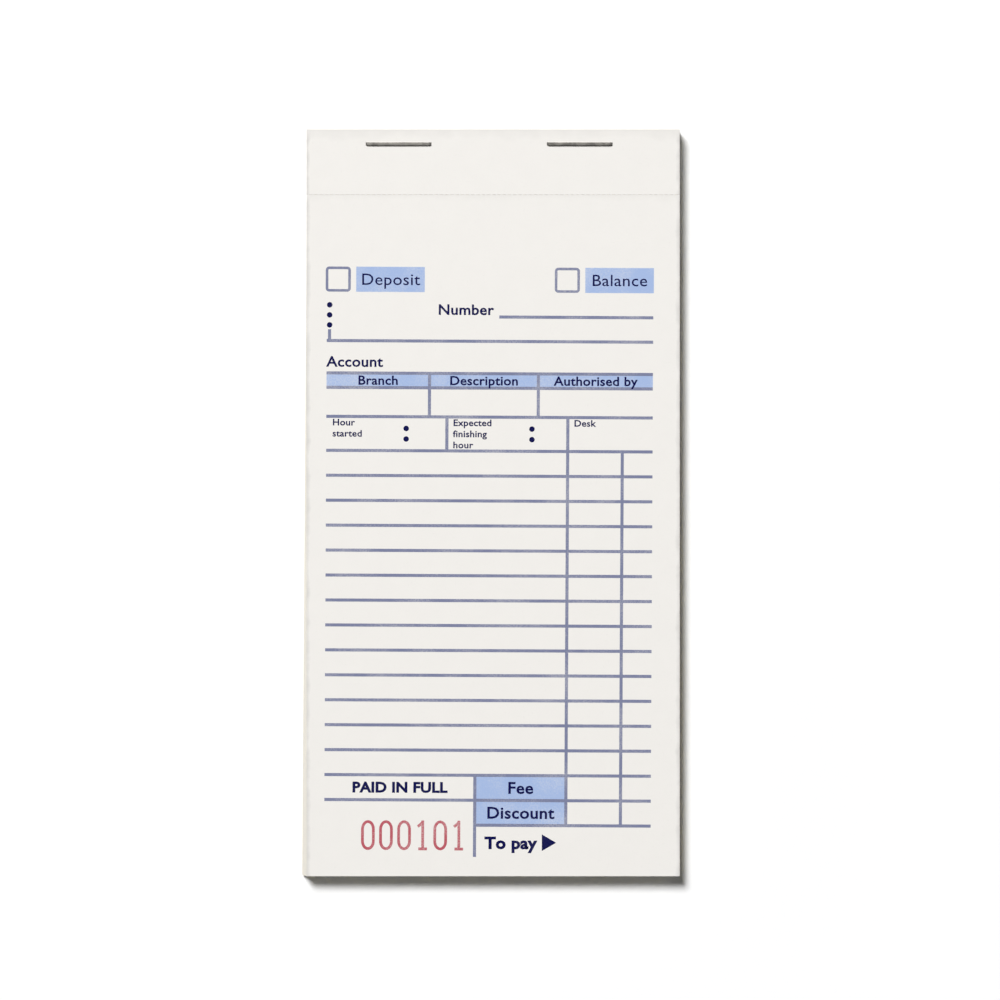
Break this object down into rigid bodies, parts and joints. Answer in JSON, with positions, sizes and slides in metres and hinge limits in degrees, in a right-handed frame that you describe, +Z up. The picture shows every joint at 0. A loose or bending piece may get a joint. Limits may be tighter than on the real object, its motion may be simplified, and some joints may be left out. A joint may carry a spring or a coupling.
{
  "type": "duplicate receipt book",
  "caption": "Top-stapled duplicate receipt pad: white receipts over yellow copies that turn or tear at a perforation, on a stiff back board.",
  "frame": {"origin": "under the middle of the back board, on the surface the pad lies on", "axes": "+Y along the pad towards the stapled stub end, +Z up out of the top sheet, +X to the right of someone reading the form"},
  "size_m": [0.0856, 0.1714, 0.0056],
  "materials": {
    "white_paper": "matt uncoated",
    "yellow_paper": "matt uncoated",
    "chipboard": "matt solid chipboard",
    "staple_wire": "bright galvanised wire"
  },
  "bodies": {
    "base": {"back_board": "chipboard", "white_stubs": "white_paper", "yellow_stubs": "yellow_paper", "staple_left": "staple_wire", "staple_right": "staple_wire"},
    "white_leaf_01": {"white_receipt_01": "white_paper"},
    "yellow_leaf_01": {"yellow_copy_01": "yellow_paper"},
    "white_leaf_02": {"white_receipt_02": "white_paper"},
    "yellow_leaf_02": {"yellow_copy_02": "yellow_paper"},
    "white_leaf_03": {"white_receipt_03": "white_paper"},
    "yellow_leaf_03": {"yellow_copy_03": "yellow_paper"},
    "front_section": {"white_receipt_04": "white_paper", "yellow_copy_04": "yellow_paper", "white_receipt_05": "white_paper", "yellow_copy_05": "yellow_paper", "white_receipt_06": "white_paper", "yellow_copy_06": "yellow_paper", "white_receipt_07": "white_paper", "yellow_copy_07": "yellow_paper", "white_receipt_08": "white_paper", "yellow_copy_08": "yellow_paper", "white_receipt_09": "white_paper", "yellow_copy_09": "yellow_paper", "white_receipt_10": "white_paper", "yellow_copy_10": "yellow_paper"},
    "middle_section": {"white_receipt_11": "white_paper", "yellow_copy_11": "yellow_paper", "white_receipt_12": "white_paper", "yellow_copy_12": "yellow_paper", "white_receipt_13": "white_paper", "yellow_copy_13": "yellow_paper", "white_receipt_14": "white_paper", "yellow_copy_14": "yellow_paper", "white_receipt_15": "white_paper", "yellow_copy_15": "yellow_paper", "white_receipt_16": "white_paper", "yellow_copy_16": "yellow_paper", "white_receipt_17": "white_paper", "yellow_copy_17": "yellow_paper"},
    "back_section": {"white_receipt_18": "white_paper", "yellow_copy_18": "yellow_paper", "white_receipt_19": "white_paper", "yellow_copy_19": "yellow_paper", "white_receipt_20": "white_paper", "yellow_copy_20": "yellow_paper", "white_receipt_21": "white_paper", "yellow_copy_21": "yellow_paper", "white_receipt_22": "white_paper", "yellow_copy_22": "yellow_paper", "white_receipt_23": "white_paper", "yellow_copy_23": "yellow_paper", "white_receipt_24": "white_paper", "yellow_copy_24": "yellow_paper", "white_receipt_25": "white_paper", "yellow_copy_25": "yellow_paper"}
  },
  "joints": [
    {"name": "white_leaf_01_turn", "type": "hinge", "parent": "yellow_leaf_01", "child": "white_leaf_01", "pos_m": [0, 0.07075, 0.00545], "axis": [-1, 0, 0], "range_deg": [0, 179.99]},
    {"name": "yellow_leaf_01_turn", "type": "hinge", "parent": "white_leaf_02", "child": "yellow_leaf_01", "pos_m": [0, 0.07075, 0.00545], "axis": [-1, 0, 0], "range_deg": [0, 179.99]},
    {"name": "white_leaf_02_turn", "type": "hinge", "parent": "yellow_leaf_02", "child": "white_leaf_02", "pos_m": [0, 0.07075, 0.00545], "axis": [-1, 0, 0], "range_deg": [0, 179.99]},
    {"name": "yellow_leaf_02_turn", "type": "hinge", "parent": "white_leaf_03", "child": "yellow_leaf_02", "pos_m": [0, 0.07075, 0.00545], "axis": [-1, 0, 0], "range_deg": [0, 179.99]},
    {"name": "white_leaf_03_turn", "type": "hinge", "parent": "yellow_leaf_03", "child": "white_leaf_03", "pos_m": [0, 0.07075, 0.00545], "axis": [-1, 0, 0], "range_deg": [0, 179.99]},
    {"name": "yellow_leaf_03_turn", "type": "hinge", "parent": "front_section", "child": "yellow_leaf_03", "pos_m": [0, 0.07075, 0.00545], "axis": [-1, 0, 0], "range_deg": [0, 179.99]},
    {"name": "front_section_turn", "type": "hinge", "parent": "middle_section", "child": "front_section", "pos_m": [0, 0.07075, 0.00545], "axis": [-1, 0, 0], "range_deg": [0, 179.99]},
    {"name": "middle_section_turn", "type": "hinge", "parent": "back_section", "child": "middle_section", "pos_m": [0, 0.07075, 0.00545], "axis": [-1, 0, 0], "range_deg": [0, 179.99]},
    {"name": "back_section_turn", "type": "hinge", "parent": "base", "child": "back_section", "pos_m": [0, 0.07075, 0.00545], "axis": [-1, 0, 0], "range_deg": [0, 179.99]}
  ]
}
